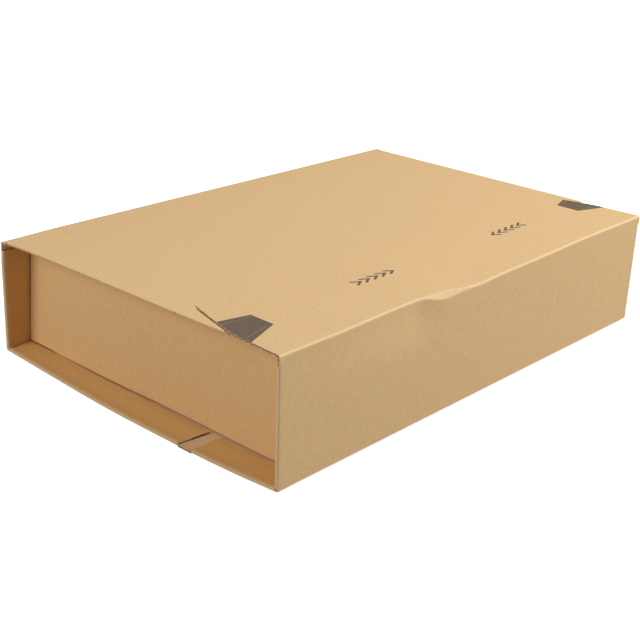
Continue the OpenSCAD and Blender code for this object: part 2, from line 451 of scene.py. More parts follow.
def tab(sheet, run, fluted):
    """A raw tab of the wrap between two folded rims, from its edge to the first line."""
    outer, inner = slab(sheet, run, lambda t: shares(raw_x(t), RIM_X, TAB_COLUMNS))
    for k in (0, -1):
        sheet.grid([outer[k], inner[k]], EDGE)
    if fluted:
        raw_edge(sheet, run, raw_x)
    else:
        sheet.grid([[r[0] for r in outer], [r[0] for r in inner]], EDGE)


def broad(t):
    """Columns from the first line of a rim to the first full column."""
    return shares(RIM_X, TIP_X, RIM_COLUMNS) + shares(TIP_X, END_X, INSIDE_COLUMNS)[1:]


def narrow(t):
    """Columns of the front panel, in as many steps as the lid corner has."""
    return shares(RIM_X, END_X, INSIDE_COLUMNS - 1)


def lid_columns(t):
    """Columns of the lid corner, from its raw edge, changing from the top's to the front's."""
    raw = raw_x(t)
    share = smoothstep(TIP_Y, LID_AS_FRONT_Y, t.y) if t.panel == "top" else 1.0
    plain = shares(raw, END_X, INSIDE_COLUMNS)
    target = [raw] + narrow(t)
    return [p + (q - p) * share for p, q in zip(plain, target)]


def wrap_end(sheet):
    """The wrap's faces near one end, with its raw tabs and the lid corner that the slit frees."""
    bottom_start = fold_cut(1)
    tip_m = WIDTH - TIP_Y
    slab(sheet, stretch("bottom", bottom_start, "top", tip_m), broad)
    outer, inner = slab(sheet, stretch("front", CORNER_NOTCH - CUT, "front", SIZES[4]), narrow)
    sheet.grid([outer[-1], inner[-1]], EDGE)
    start = stretch("bottom", bottom_start, "bottom", bottom_start)[0]
    sheet.grid([[start.at(x, d) for x in broad(start)] for d in (0.0, BOARD)], EDGE)

    sliver = stretch("top", tip_m, "top", WIDTH - LID_RIM_Y)
    outer, inner = slab(sheet, sliver,
                        lambda t: shares(sliver_start(t.y), sliver_side(t.y), RIM_COLUMNS),
                        sliver_drop, thinned)
    sheet.grid([[r[-1] for r in outer], [r[-1] for r in inner]], EDGE)

    lid = stretch("top", tip_m, "front", CORNER_NOTCH - CUT)
    slab(sheet, lid, lid_columns)
    raw_edge(sheet, lid, raw_x)
    corner = lid[-1]
    sheet.grid([[corner.at(x, d) for x in (raw_x(corner), RIM_X)] for d in (0.0, BOARD)], EDGE)

    tab(sheet, stretch("bottom", NOTCH_M[0] + CUT, "bottom", NOTCH_M[1] - CUT), True)
    tab(sheet, stretch("back", BACK_NOTCH_M + CUT, "top", CORNER_NOTCH - CUT), False)


# Wear and painted highlight of the rims' folded edges on two panels, and on the others
RIM_WEAR_AND_HIGHLIGHT = {"top": 0.3, "front": 0.35}
PLAIN_WEAR_AND_HIGHLIGHT = 0.15
# How much larger the back rim's edge is, and the radius of an edge's inner face
BACK_RIM_MORE = 0.3
INNER_EDGE_R = 0.08
# Power of the sine that shapes a folded edge, and how much less it is on upright panels
EDGE_POWER = 0.6
UPRIGHT_LESS = 0.2
# Steps of the inner layer, and the share of it over which it settles on the outer one
FLAT_STEPS = 6
SETTLED = 0.7


def rim_side(t, foot_inset):
    """Where a rim's edge ends towards the open side."""
    if t.panel == "front":
        return FLUSH + foot_inset * (1 - t.z / HEIGHT)
    return FLUSH


def profile(t, end, lift, outer, foot_inset):
    """A rim's line from the flat round its edge to the raw end of its inner layer."""
    upright = smoothstep(STARTS[2] - FOLD_R, STARTS[2] + FOLD_R, t.s)
    power = EDGE_POWER - UPRIGHT_LESS * upright
    r = RIM_R + BACK_RIM_MORE * upright * (t.s < STARTS[3])
    # The folded edge's wear, which also paints its highlight
    wear_and_highlight = RIM_WEAR_AND_HIGHLIGHT.get(t.panel, PLAIN_WEAR_AND_HIGHLIGHT)
    shift, thin, sunk = 0.0, 1.0, 0.0
    if t.panel == "top":
        shift, thin = sliver_start(t.y) - RIM_X, thinned(t.y)
        sunk = TUCK_DEPTH * tucked(t.y)
    line = []
    for k in range(FOLD_STEPS + 1):
        a = math.pi * k / FOLD_STEPS
        if not outer:
            x, depth = RIM_X - INNER_EDGE_R * math.sin(a), r - INNER_EDGE_R * math.cos(a)
        elif t.panel == "top":
            x, depth = UNDERCUT[k]
        else:
            x = RIM_X - (RIM_X - rim_side(t, foot_inset)) * abs(math.sin(a)) ** power
            depth = r - r * math.cos(a)
        line.append(t.at(x + shift, depth * thin, sunk, wear_and_highlight=wear_and_highlight * math.sin(a)))
    if end is None:
        return line
    flat = RIM_T if t.panel == "top" else RIM_FLAT_T
    from_x, from_depth = line[-1][0], 2 * r if t.panel != "top" else UNDERCUT[-1][1]
    if not outer:
        flat, from_depth = flat - BOARD, r + INNER_EDGE_R
    for k in range(1, FLAT_STEPS + 1):
        u = k / FLAT_STEPS
        depth = from_depth + (flat - from_depth) * smoothstep(0, SETTLED, u) + lift * u
        line.append(t.at(from_x + (end - from_x) * u, depth * thin, sunk))
    return line


def rim(sheet, run, end_at, lift_at, hollow=()):
    """A folded rim over a run of stations; its ends show the hollow core where they are listed."""
    inset = 0.0 if sheet.mirror else PROUD - FLUSH
    outer = [profile(t, end_at(t), lift_at(t), True, inset) for t in run]
    inner = [profile(t, end_at(t), lift_at(t), False, inset) for t in run]
    bend = FOLD_STEPS + 1
    sheet.grid([r[:bend] for r in outer], OUTER)
    sheet.grid([r[bend - 1:] for r in outer], RIM)
    sheet.grid(inner, INNER)
    sheet.grid([[r[-1] for r in outer], [r[-1] for r in inner]], EDGE)
    for k, step in ((0, 1), (-1, -1)):
        if k in hollow:
            hollow_end(sheet, outer[k], inner[k], outer[k + step])
        else:
            sheet.grid([outer[k], inner[k]], EDGE)


def between(a, b, u):
    return tuple(p + (q - p) * u for p, q in zip(a, b))


# Depth of the hollow at a cut along the flutes, and its greatest share of a step
HOLLOW_DEPTH = 1.5
HOLLOW_SHARE = 0.9


def hollow_end(sheet, outer, inner, next_outer):
    """A cut along the flutes: both liners' edges and the hollow between them, painted dark as
    shade.
    """
    share = LINER / BOARD
    rows = [outer, [between(a, b, share) for a, b in zip(outer, inner)],
            [], [], [between(a, b, 1 - share) for a, b in zip(outer, inner)], inner]
    for a, b, c in zip(outer, inner, next_outer):
        reach = Vector((c[0] - a[0], c[1] - a[1], c[2] - a[2]))
        reach = reach.normalized() * min(HOLLOW_DEPTH, reach.length * HOLLOW_SHARE)
        for row, u in ((rows[2], share), (rows[3], 1 - share)):
            p = between(a, b, u)
            row.append((p[0] + reach.x, p[1] + reach.y, p[2] + reach.z, *p[3:]))
    sheet.grid(rows[:2], EDGE)
    sheet.grid(rows[1:5], CORE)
    sheet.grid(rows[4:], EDGE)


# The bottom rim's inner edge reaches further in, more and more between two places
BOTTOM_MORE = 1.1
BOTTOM_MORE_AT = (160, 110)
# It is pressed down towards the front, and springs up a little behind the notch
PRESSED = 0.75
PRESSED_AT = (150, 60)
SPRUNG = 0.5
SPRUNG_AT = (74, NOTCH_TO)
SPRUNG_FROM = NOTCH_TO - 1
# End of the back rim at the ground, and how much further in it lies at the top
BACK_END = 15.2
BACK_END_MORE = 3.2
# The bottom rim's flat runs on below the front panel to this place
SEAM_Y = 1.2
SEAM_RUN = 2


def bottom_end(t):
    """The bottom rim's raw inner edge, which reaches further in towards the front."""
    return RIM_END + BOTTOM_MORE * smoothstep(*BOTTOM_MORE_AT, t.y)


def bottom_lift(t):
    """How far the inner edge of the bottom rim springs up, or is pressed down."""
    lift = -PRESSED * smoothstep(*PRESSED_AT, t.y)
    return lift + SPRUNG * smoothstep(*SPRUNG_AT, t.y) * (t.y > SPRUNG_FROM)


def rims(sheet):
    """The folded rims of the bottom, back, top and front panels at one end."""
    level = lambda t: 0.0
    plain = lambda t: RIM_END
    back_end = lambda t: BACK_END + BACK_END_MORE * t.z / HEIGHT
    front_run = stretch("bottom", fold_cut(1), "bottom", NOTCH_M[0])
    first = front_run[0]
    reach = Station(SEAM_Y, bottom_z(SEAM_Y), first.ny, first.nz, first.s - SEAM_RUN, "bottom")
    rim(sheet, [reach] + front_run, bottom_end, bottom_lift)
    rim(sheet, stretch("bottom", NOTCH_M[1], "bottom", BOTTOM_CORNER_M), bottom_end,
        bottom_lift, (0,))
    rim(sheet, stretch("bottom", BOTTOM_CORNER_M, "back", FOLD_R), lambda t: None, level)
    rim(sheet, stretch("back", FOLD_R, "back", BACK_NOTCH_M), back_end, level, (-1,))
    rim(sheet, stretch("top", CORNER_NOTCH, "top", WIDTH - LID_RIM_Y),
        lambda t: WALL_X - WALL_R, level, (-1,))
    rim(sheet, stretch("front", CORNER_NOTCH, "front", SIZES[4]), plain, level)


def wall_point(x, y, z, depth):
    return (x, y, z, STARTS[3] + WIDTH - y, depth, 0.0, 0.0)


# How far in the end wall's foot stands at places from the front
FOOT = [(37, 19.3), (85, 19.8), (110, 19.6), (122, 19.0), (132, 18.4), (152, 17.6), (171, 17.0),
        (191, 16.2), (201, 15.3), (221, 15.0)]
# Gap under the foot, and places between which the foot comes to stand over the bottom rim
FOOT_GAP = 0.9
ON_RIM_AT = (186, 200)
# How far in the wall bows at its back edge, from which place, and over which upper share
BACK_EDGE_IN = 1.6
BACK_EDGE_AT = (185, WIDTH)
BACK_EDGE_TOP = (0, 0.12)
# Gap beside the back rim, height of the slanted upper corners, and start of the strip
WALL_BACK_CLEAR = 0.25
WALL_CHAMFER = 4.0
UNDER_BACK = 8.0
# Rows and columns of the wall, columns of the strip, and step along the fold
WALL_ROWS = 16
WALL_COLUMNS = 50
STRIP_COLUMNS = 3
WALL_STEP = 4


def end_wall(sheet):
    """The end wall, its fold under the top panel, and the strip under the lid corner."""
    hang = HEIGHT - RIM_T - WALL_R
    fold_x = WALL_X - WALL_R
    front_side = BOARD + WALL_CLEAR
    back_side = RIM_T + WALL_BACK_CLEAR
    across = spaced(CORNER_NOTCH, WIDTH - CORNER_NOTCH, WALL_STEP)
    strip = [y for y in across if y < LID_RIM_Y] + [LID_RIM_Y]
    sides = []
    for outer in (True, False):
        kind = OUTER if outer else INNER
        depth = 0.0 if outer else BOARD
        r = WALL_R + depth
        rows = []
        for k in range(FOLD_STEPS + 1):
            a = math.pi / 2 * k / FOLD_STEPS
            rows.append([wall_point(fold_x + r * math.sin(a), y, hang + r * math.cos(a), depth)
                         for y in across])
        sheet.grid(rows, kind)
        wall = []
        for u in shares(0, 1, WALL_ROWS):
            row = []
            cut = max(0.0, 1 - u * hang / WALL_CHAMFER)
            low = front_side + (CORNER_NOTCH - front_side) * cut
            high = WIDTH - back_side - (CORNER_NOTCH - back_side) * cut
            bow = BACK_EDGE_IN * smoothstep(*BACK_EDGE_TOP, u) * (1 - u)
            for y in shares(low, high, WALL_COLUMNS):
                on_rim = (RIM_FLAT_T - BOARD) * smoothstep(*ON_RIM_AT, y)
                foot = bottom_z(y) + BOARD + on_rim + FOOT_GAP
                x = WALL_X + (between_marks(FOOT, y) - WALL_X) * u + depth
                x += bow * smoothstep(*BACK_EDGE_AT, y)
                row.append(wall_point(x, y, hang + (foot - hang) * u, depth))
            wall.append(row)
        sheet.grid(wall, WALL if outer else INNER)
        under = HEIGHT - (RIM_T if outer else RIM_T - BOARD)
        columns = shares(PROUD + UNDER_BACK, fold_x, STRIP_COLUMNS)
        sheet.grid([[wall_point(x, y, under, depth) for x in columns] for y in strip], kind)
        sides.append((rows, wall))
    (fold_a, wall_a), (fold_b, wall_b) = sides
    for k in (0, -1):
        sheet.grid([[r[k] for r in wall_a], [r[k] for r in wall_b]], EDGE)
        sheet.grid([[r[k] for r in fold_a], [r[k] for r in fold_b]], EDGE)
    sheet.grid([wall_a[-1], wall_b[-1]], EDGE)


# Height of the bottom rim's outer edge at places from the front, where the panel sags
SAG = [(0, 2.5), (25, 1.0), (45, 0.2), (60, 0.0), (84, 0.0), (116, 0.05), (133, 0.45), (151, 1.2),
       (169, 2.15), (188, 3.1), (207, 4.2), (221, 4.9)]
# How much less the panel sags inside the rims, where that sets in, and where the sag ends
INSIDE_LESS = 0.62
INSIDE_AT = (1, 17)
SAG_BELOW = (13, 7)
# Height of the top panel's left edge against its level, at places from the front
LEFT_TOP = [(0, -0.05), (10, -0.05), (20, 0.0), (40, 0.0), (52, -0.1), (75, -0.25), (175, -0.25),
            (195, -0.4), (207, -0.8), (221, -1.3)]
# Fall of the top panel's right corners, front and back
RIGHT_TOP = (-0.5, -0.3)
# Rise of the right front foot, and the run from the front over which it is lost
RIGHT_FOOT_RISE = 0.2
FOOT_RISE_RUN = 60
# Roundness of the top panel's left back corner, and where it sets in upwards, back and left
BACK_PINCH = 1.3
PINCH_UP = (62, HEIGHT)
PINCH_BACK = (212, WIDTH)
PINCH_LEFT = (40, 0)
# Slant of the notch at its front and back side, and where it sets in
NOTCH_SKEW = (3.4, 6.1)
SKEW_INWARD = (45, RIM_END)
SKEW_FRONT = (NOTCH_FROM - 34, NOTCH_FROM - 1)
SKEW_BACK = (NOTCH_TO + 34, NOTCH_TO + 1)
SKEW_BELOW = (15, 8)
# Buckled front fold: how far its upper crease stands back and its lower crease hangs down
STAND_BACK = [(0, 0.2), (40, 0.5), (58, 1.1), (70, 1.7), (86, 2.2), (100, 2.5), (108, 2.4),
              (116, 2.0), (126, 1.8), (138, 1.6), (150, 1.0), (162, 0.0)]
HANG_DOWN = [(84, 0.0), (96, 0.3), (106, 1.7), (115, 3.4), (126, 4.1), (136, 3.7), (147, 3.6),
             (158, 3.2), (168, 2.8), (181, 2.3), (205, 1.85), (230, 1.4), (256, 0.5), (300, 0.2),
             (330, 0.0)]
# The region that is buckled: above this height and in front of this place
BUCKLED_ABOVE = 8
BUCKLED_BEFORE = 80
# Where the panels lean back, by length, depth below the lid and place from the front
LEAN_LEFT = (126, 102)
LEAN_DOWN = (30, 0)
LEAN_IN = (40, 0)
# Where they slump, by length, and by depth and place from the front
SLUMP_RIGHT = (120, 158)
SLUMP_IN = (75, 0)
# The facet: least creases that make one, how far beyond them it cuts, its wear and painted
# highlight, and its soft rim
FACET_LEAST = 0.05
FACET_SPARE = 0.6
FACET_WEAR_AND_HIGHLIGHT = 0.6
FACET_RIM = (0, 0.25)


def skewed(x, y, z):
    """Slants the notch in the bottom rims, which runs towards the front on its way in."""
    near = min(x, LENGTH - x)
    reach = near / RIM_END if near < RIM_END else smoothstep(*SKEW_INWARD, near)
    inside = smoothstep(*SKEW_FRONT, y) * smoothstep(*SKEW_BACK, y)
    share = min(1.0, max(0.0, (y - NOTCH_FROM) / (NOTCH_TO - NOTCH_FROM)))
    skew = NOTCH_SKEW[0] + (NOTCH_SKEW[1] - NOTCH_SKEW[0]) * share
    return y - skew * reach * inside * smoothstep(*SKEW_BELOW, z)


def buckled(x, y, z, depth):
    """Moves the front fold to its buckled line, with a flat facet where it changes sides."""
    back = between_marks(STAND_BACK, x)
    low = between_marks(HANG_DOWN, x)
    below = HEIGHT - z
    lean = back * smoothstep(*LEAN_LEFT, x)
    slump = low * smoothstep(*SLUMP_RIGHT, x)
    dy = lean * smoothstep(*LEAN_DOWN, below) * smoothstep(*LEAN_IN, y)
    dz = -slump * smoothstep(*SLUMP_IN, y) * smoothstep(*SLUMP_IN, below)
    y, z = y + dy, z + dz
    facet = 0.0
    if back > FACET_LEAST and low > FACET_LEAST:
        a = Vector((back + FACET_SPARE, HEIGHT))
        b = Vector((0.0, HEIGHT - low - FACET_SPARE))
        along = (a - b).normalized()
        normal = Vector((-along.y, along.x))
        over = (Vector((y, z)) - b).dot(normal) + depth
        if over > 0:
            y -= normal.x * over
            z -= normal.y * over
            # The facet is painted lighter: worn paper and a painted highlight
            facet = FACET_WEAR_AND_HIGHLIGHT * smoothstep(*FACET_RIM, over)
    return y, z, facet


def warped(p):
    """The place that a point of the ideal box has on the real one, and the wear and painted
    highlight it adds.
    """
    x, y, z, _, depth = p[:5]
    wear_and_highlight = 0.0
    y = skewed(x, y, z)
    if z > BUCKLED_ABOVE and y < BUCKLED_BEFORE:
        y, z, wear_and_highlight = buckled(x, y, z, depth)
    inside_y = min(WIDTH, max(0.0, y))
    u, v = x / LENGTH, inside_y / WIDTH
    h = max(0.0, z / HEIGHT)
    y -= (BACK_PINCH * smoothstep(*PINCH_UP, z) * smoothstep(*PINCH_BACK, y)
          * smoothstep(*PINCH_LEFT, x))
    right = RIGHT_TOP[0] * (1 - v) + RIGHT_TOP[1] * v
    dz = (between_marks(LEFT_TOP, inside_y) * (1 - u) + right * u) * h
    fade = max(0.0, 1 - inside_y / FOOT_RISE_RUN) ** 2
    dz += RIGHT_FOOT_RISE * u * fade * max(0.0, 1 - h)
    hung = 1 - INSIDE_LESS * smoothstep(*INSIDE_AT, min(x, LENGTH - x))
    sag = between_marks(SAG, inside_y) - bottom_z(inside_y)
    dz += sag * hung * smoothstep(*SAG_BELOW, z)
    return (x, y, max(0.0, z + dz)), wear_and_highlight


# Faces that meet at a smaller angle are shaded as one
SMOOTH_BELOW = math.radians(35)


def as_object(sheet, name, materials):
    """Turns the collected faces into a mesh with consistent normals and sharp cut edges."""
    mesh = bpy.data.meshes.new(name)
    places = [warped(p) for p in sheet.points]
    mesh.from_pydata([(Vector(p) + ORIGIN) * MM for p, _ in places], [], sheet.faces)
    paper = mesh.attributes.new("paper", "FLOAT_VECTOR", "POINT")
    for k, (p, (_, facet)) in enumerate(zip(sheet.points, places)):
        paper.data[k].vector = (p[3] * MM, max(p[5], facet), p[6])
    for m in materials:
        mesh.materials.append(m)
    mesh.polygons.foreach_set("material_index", sheet.kinds)
    bm = bmesh.new()
    bm.from_mesh(mesh)
    bmesh.ops.recalc_face_normals(bm, faces=bm.faces)
    for e in bm.edges:
        e.smooth = len(e.link_faces) == 2 and e.calc_face_angle(0) < SMOOTH_BELOW
    for f in bm.faces:
        f.smooth = True
    bm.to_mesh(mesh)
    bm.free()
    obj = bpy.data.objects.new(name, mesh)
    bpy.context.scene.collection.objects.link(obj)
    return obj


def srgb(r, g, b):
    """A colour written as in a picture, as linear values."""
    return (*(((c / 255 + 0.055) / 1.055) ** 2.4 for c in (r, g, b)), 1.0)


class Graph:
    """A material and short calls that add nodes to it and give their first output."""

    def __init__(self, name):
        self.material = bpy.data.materials.new(name)
        self.material.use_nodes = True
        self.tree = self.material.node_tree
        self.shader = self.tree.nodes["Principled BSDF"]

    def put(self, socket, value):
        if isinstance(value, bpy.types.NodeSocket):
            self.tree.links.new(value, socket)
        else:
            socket.default_value = value

    def node(self, kind, *values, **settings):
        node = self.tree.nodes.new("ShaderNode" + kind)
        for key, value in settings.items():
            setattr(node, key, value)
        for socket, value in zip(node.inputs, values):
            self.put(socket, value)
        return node

    def calc(self, operation, *values, clamp=False):
        return self.node("Math", *values, operation=operation, use_clamp=clamp).outputs[0]

    def ramp(self, value, low, high):
        """Runs from 0 where the value is low to 1 where it is high."""
        return self.node("MapRange", value, low, high, 0.0, 1.0).outputs[0]

    def mix(self, share, a, b):
        node = self.tree.nodes.new("ShaderNodeMix")
        node.data_type = "RGBA"
        for key, value in ((0, share), (6, a), (7, b)):
            self.put(node.inputs[key], value)
        return node.outputs[2]

    def noise(self, place, scale, detail=2.0, roughness=0.5):
        stretched = self.node("VectorMath", place, scale, operation="MULTIPLY").outputs[0]
        return self.node("TexNoise", stretched, 0.0, 1.0, detail, roughness).outputs[0]

    def object_place(self):
        return self.tree.nodes.new("ShaderNodeTexCoord").outputs["Object"]

    def relief(self, height, strength, distance):
        """Gives the surface a fine relief, which is the given distance high."""
        bump = self.node("Bump", strength, distance)
        self.put(bump.inputs["Height"], height)
        self.put(self.shader.inputs["Normal"], bump.outputs[0])

    def attribute(self, name):
        node = self.node("Attribute", attribute_name=name)
        return self.node("SeparateXYZ", node.outputs["Vector"]).outputs

    def product(self, *values):
        total = values[0]
        for value in values[1:]:
            total = self.calc("MULTIPLY", total, value)
        return total

    def either(self, *values):
        total = values[0]
        for value in values[1:]:
            total = self.calc("MAXIMUM", total, value)
        return total

    def side(self, x, y, a, b):
        """1 on the left of the line from a to b, 0 on its right."""
        dx, dy = b[0] - a[0], b[1] - a[1]
        length = math.hypot(dx, dy)
        u = self.calc("MULTIPLY_ADD", x, -dy / length, (dy * a[0] - dx * a[1]) / length)
        return self.ramp(self.calc("MULTIPLY_ADD", y, dx / length, u), -SOFT / 2, SOFT / 2)

    def polygon(self, x, y, corners):
        """1 inside a convex outline that runs anticlockwise."""
        return self.product(*(self.side(x, y, a, b)
                              for a, b in zip(corners, corners[1:] + corners[:1])))

    def line(self, x, y, a, b, half):
        """1 on a thin straight line."""
        dx, dy = b[0] - a[0], b[1] - a[1]
        length = math.hypot(dx, dy)
        n = (-dy / length * half, dx / length * half)
        return self.polygon(x, y, [(a[0] - n[0], a[1] - n[1]), (b[0] - n[0], b[1] - n[1]),
                                   (b[0] + n[0], b[1] + n[1]), (a[0] + n[0], a[1] + n[1])])

    def chevrons(self, x, y, tip, pitch, way):
        """Strokes bent at their tips, which point along way, behind the foremost tip."""
        bend = self.calc("ABSOLUTE", self.calc("SUBTRACT", y, tip[1]))
        along = self.calc("MULTIPLY", self.calc("SUBTRACT", x, tip[0]), way)
        u = self.calc("MULTIPLY_ADD", bend, CHEVRON_SLOPE, along)
        u = self.calc("ADD", u, CHEVRON_STROKE)
        m = self.calc("FLOORED_MODULO", u, pitch)
        run = math.hypot(1, CHEVRON_SLOPE)
        lean = CHEVRON_SLOPE / run
        end = self.calc("MULTIPLY_ADD", m, -lean, self.calc("MULTIPLY", bend, run))
        limit = CHEVRON_LENGTH - lean * CHEVRON_STROKE
        last = CHEVRON_COUNT * pitch
        return self.product(self.ramp(m, 0.0, SOFT),
                            self.ramp(m, CHEVRON_STROKE + OUTSIDE, CHEVRON_STROKE - INSIDE),
                            self.ramp(end, limit + OUTSIDE, limit - OUTSIDE),
                            self.ramp(u, -INSIDE, 0.0),
                            self.ramp(u, last, last - INSIDE))


# Printed marks on the top panel, in millimetres from the left end and the front
PATCHES = [
    [(25.3, 44.7), (-3.0, 51.3), (-3.0, 18.2), (24.9, 28.5)],
    [(307.9, 32.3), (333.0, 23.5), (333.0, 55.8), (308.2, 48.3)],
]
# Scores in the print, and the crease beside the slit's tip, painted as a line of shade, with half
# their widths
SCORES = [((5.6, 44.7), (22.6, 43.0)), ((3.1, 25.1), (20.8, 28.9)),
          ((313.8, 47.1), (329.0, 50.9)), ((314.1, 32.5), (327.4, 30.5))]
SCORE_HALF = 0.13
CREASE_SHADE_LINE = ((16.8, 74.1), (24.4, 75.7))
CREASE_SHADE_HALF = 0.4
# Rows of chevrons: foremost tip, pitch and the way they point along the length
CHEVRON_ROWS = [((103.0, 39.4), 6.72, 1.0), ((249.7, 40.8), 6.68, -1.0)]
CHEVRON_COUNT = 5
CHEVRON_SLOPE = 1.8
CHEVRON_STROKE = 3.3
CHEVRON_LENGTH = 7.4
# Softness of the prints' edges: across a line, and outside and inside a stroke
SOFT = 0.25
OUTSIDE = 0.15
INSIDE = 0.1
PRINT = srgb(92, 78, 66)
PRINT_LIGHT = srgb(108, 94, 80)


def prints(g, place):
    """Where the top panel is printed, where scores lighten the print, and the painted shade line
    of its crease.
    """
    p = g.node("SeparateXYZ", place).outputs
    x = g.calc("MULTIPLY_ADD", p[0], 1 / MM, -ORIGIN.x)
    y = g.calc("MULTIPLY_ADD", p[1], 1 / MM, -ORIGIN.y)
    marks_on_lid = [g.polygon(x, y, corners) for corners in PATCHES]
    marks_on_lid += [g.chevrons(x, y, *row) for row in CHEVRON_ROWS]
    scores = [g.line(x, y, a, b, SCORE_HALF) for a, b in SCORES]
    return g.either(*marks_on_lid), g.either(*scores), g.line(x, y, *CREASE_SHADE_LINE, CREASE_SHADE_HALF)


# Noise in the paper: scales along the axes per metre, detail and roughness
BLOTCH = ((520, 520, 520), 3.0, 0.55)
CLOUD = ((62, 62, 62), 2.0)
GRAIN = ((2300, 2300, 900), 2.0, 0.6)
WARMTH = ((410, 430, 400), 1.0)
FIBRES_X = ((260, 2600, 2600), 1.0)
FIBRES_Y = ((2600, 300, 300), 1.0)
SPECKS = ((1250, 1250, 1250), 1.0)
STREAKS = ((240, 2400, 2400), 2.0)
# Levels of the noise between which each part of the paper sets in
BLOTCH_AT = (0.3, 0.7)
CLOUD_AT = (0.3, 0.7)
GRAIN_AT = (0.25, 0.75)
WARM_AT = (0.42, 0.62)
FIBRE_X_AT = (0.68, 0.76)
FIBRE_Y_AT = (0.69, 0.77)
SPECK_AT = (0.765, 0.80)
STREAK_AT = (0.35, 0.8)
BARE_AT = (0.62, 0.8)
WORN_AND_HIGHLIGHT_AT = (0.1, 0.55)
# Share in the lid from which the prints are shown
LID_AT = (0.45, 0.55)
# Shares that the clouds, the warm blotches, the fibres and the specks have in the colour
CLOUD_SHARE = 0.4
WARM_SHARE = 0.75
FIBRE_SHARE = 0.12
SPECK_SHARE = 0.4
WARM_TINT = (1.01, 0.945, 0.9, 1.0)
SPECK_COLOUR = srgb(120, 84, 50)
# Brightness from the grain: least and range
GRAIN_LEAST = 0.955
GRAIN_RANGE = 0.09
# Shares of bare paper in the ink, of paper along a score, of the ink, and of the painted shade
# along a crease
BARE_SHARE = 0.3
SCORE_SHARE = 0.38
INK_SHARE = 0.98
CREASE_SHADE_SHARE = 0.4
# Worn folds, painted lighter also as their highlight: colour and greatest share
WORN_AND_HIGHLIGHT = srgb(241, 212, 166)
WORN_AND_HIGHLIGHT_SHARE = 0.95
# Roughness of the paper: least and range
ROUGH_LEAST = 0.76
ROUGH_RANGE = 0.14
# Relief of the paper: parts of grain, blotches and flutes, strength, and height in metres
GRAIN_RELIEF = 0.35
BLOTCH_RELIEF = 0.65
FLUTE_RELIEF = 0.12
RELIEF = (0.5, 0.00012)
# Cut board: fine and broad noise and their levels, share of dark, and relief
FIBRE_ENDS = ((1100, 1100, 1100), 3.0, 0.6)
FIBRE_ENDS_AT = (0.3, 0.65)
DARK_PARTS = ((180, 180, 180), 1.0)
DARK_AT = (0.4, 0.7)
DARK_SHARE = 0.35
CUT_RELIEF = (0.6, 0.0002)
# Sealing strip: noise and its levels, two colours, and range and least of its roughness
STRIP_NOISE = ((900, 900, 300), 2.0)
STRIP_AT = (0.3, 0.7)
STRIP_COLOURS = (srgb(222, 218, 208), srgb(236, 233, 225))
STRIP_ROUGH = (0.2, 0.35)


def kraft(name, colour, light, dark, printed=False):
    """Kraft paper: soft blotches, grain, fibres and specks, worn pale along the folds, with a
    painted highlight there.
    """
    g = Graph(name)
    place = g.object_place()
    way, wear_and_highlight, lid = g.attribute("paper")
    blotch = g.noise(place, *BLOTCH)
    cloud = g.noise(place, *CLOUD)
    grain = g.noise(place, *GRAIN)
    warm = g.noise(place, *WARMTH)
    fibre_x = g.ramp(g.noise(place, *FIBRES_X), *FIBRE_X_AT)
    fibre_y = g.ramp(g.noise(place, *FIBRES_Y), *FIBRE_Y_AT)
    speck = g.ramp(g.noise(place, *SPECKS), *SPECK_AT)
    c = g.mix(g.ramp(blotch, *BLOTCH_AT), dark, light)
    c = g.mix(g.calc("MULTIPLY", g.ramp(cloud, *CLOUD_AT), CLOUD_SHARE), c, colour)
    c = g.mix(g.calc("MULTIPLY", g.ramp(warm, *WARM_AT), WARM_SHARE), c,
              tuple(v * k for v, k in zip(colour, WARM_TINT)))
    shade = g.calc("MULTIPLY_ADD", g.ramp(grain, *GRAIN_AT), GRAIN_RANGE, GRAIN_LEAST)
    c = g.node("VectorMath", c, (1, 1, 1), (1, 1, 1), shade, operation="SCALE").outputs[0]
    c = g.mix(g.calc("MULTIPLY", g.either(fibre_x, fibre_y), FIBRE_SHARE), c, light)
    c = g.mix(g.calc("MULTIPLY", speck, SPECK_SHARE), c, SPECK_COLOUR)
    if printed:
        mark, score, crease_shade = prints(g, place)
        streak = g.noise(place, *STREAKS)
        ink = g.mix(g.ramp(streak, *STREAK_AT), PRINT, PRINT_LIGHT)
        ink = g.mix(g.calc("MULTIPLY", g.ramp(blotch, *BARE_AT), BARE_SHARE), ink, colour)
        ink = g.mix(g.calc("MULTIPLY", score, SCORE_SHARE), ink, colour)
        on_lid = g.ramp(lid, *LID_AT)
        c = g.mix(g.product(mark, on_lid, INK_SHARE), c, ink)
        # The crease beside the slit's tip: painted shade, darker along its line
        c = g.mix(g.product(crease_shade, on_lid, CREASE_SHADE_SHARE), c, dark)
    # Folds, rims and the dent's facet painted lighter: wear and a painted highlight
    rub_and_highlight = g.product(wear_and_highlight, g.ramp(grain, *WORN_AND_HIGHLIGHT_AT), WORN_AND_HIGHLIGHT_SHARE)
    c = g.mix(rub_and_highlight, c, WORN_AND_HIGHLIGHT)
    g.put(g.shader.inputs["Base Color"], c)
    g.put(g.shader.inputs["Roughness"], g.calc("MULTIPLY_ADD", blotch, ROUGH_RANGE, ROUGH_LEAST))
    g.shader.inputs["Specular IOR Level"].default_value = 0.3
    wave = g.calc("SINE", g.calc("MULTIPLY", way, 2 * math.pi / (FLUTE * MM)))
    height = g.calc("MULTIPLY_ADD", grain, GRAIN_RELIEF, g.calc("MULTIPLY", blotch, BLOTCH_RELIEF))
    height = g.calc("MULTIPLY_ADD", wave, FLUTE_RELIEF, height)
    g.relief(height, *RELIEF)
    return g.material


